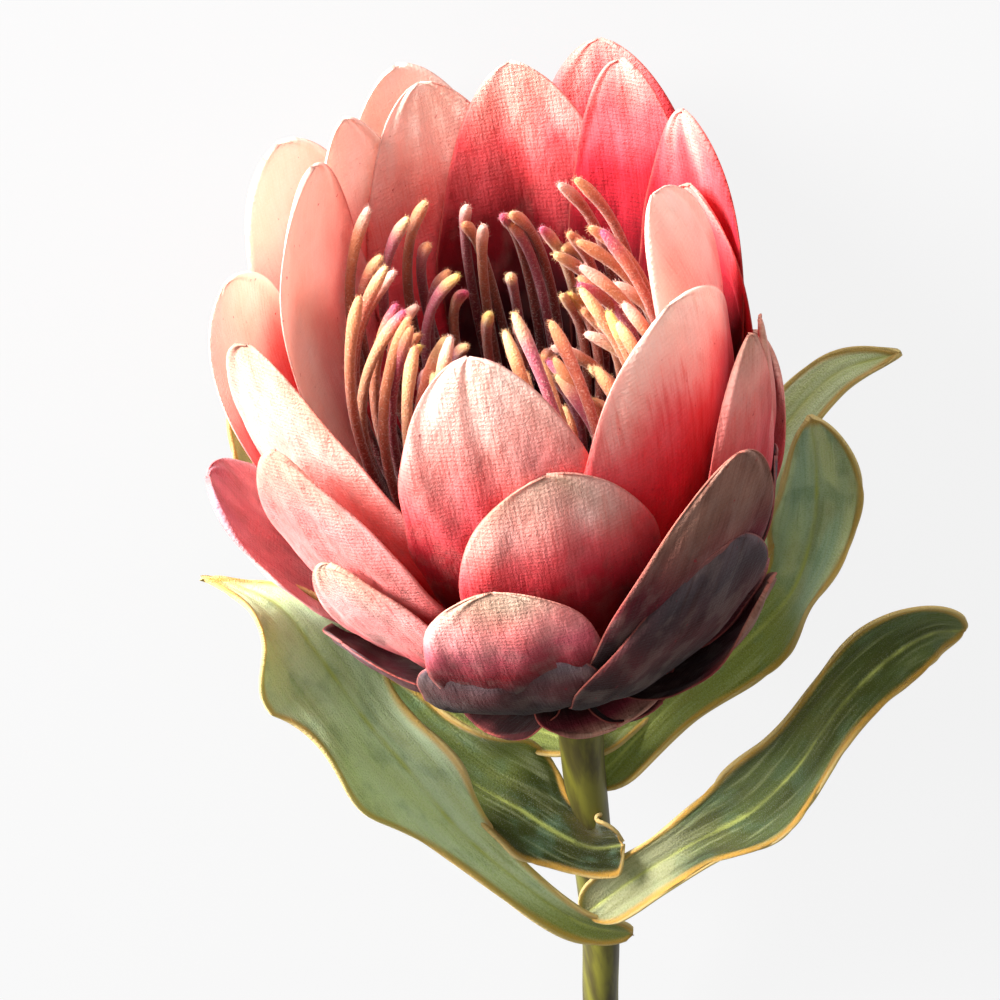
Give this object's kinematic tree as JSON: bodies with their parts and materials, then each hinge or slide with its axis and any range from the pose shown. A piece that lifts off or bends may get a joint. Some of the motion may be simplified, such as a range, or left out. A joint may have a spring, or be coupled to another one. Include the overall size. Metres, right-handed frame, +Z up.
{
  "type": "protea flower",
  "caption": "Open protea bloom on a cut leafy stem, lying on its back; pointed pink bracts in layered rows round a ring of slim hairy florets.",
  "frame": {"origin": "centre of the whole flower's footprint, on the surface that it lies on", "axes": "+Y from the head towards the cut end of the stem, +Z up; the flower lies on its back with its open head towards -Y"},
  "size_m": [0.1478, 0.3018, 0.1039],
  "materials": {
    "stem": "smooth green stem, satin",
    "florets": "short velvety hairs, matte",
    "inner_bracts": "fine downy surface, matte, crimson at the base to cream at the tip",
    "outer_bracts": "fine downy surface, matte, dusty maroon with grey-brown tips",
    "leaf": "grey-green, matte, with a yellow rib and ochre margins"
  },
  "bodies": {
    "root": {"stem": "stem", "florets": "florets", "inner_bracts": "inner_bracts", "outer_bracts": "outer_bracts", "leaf_lower_left": "leaf", "leaf_lower_right": "leaf", "leaf_middle_right": "leaf", "leaf_upper_left": "leaf", "leaf_upper_right": "leaf", "leaf_behind_left": "leaf"}
  },
  "joints": []
}
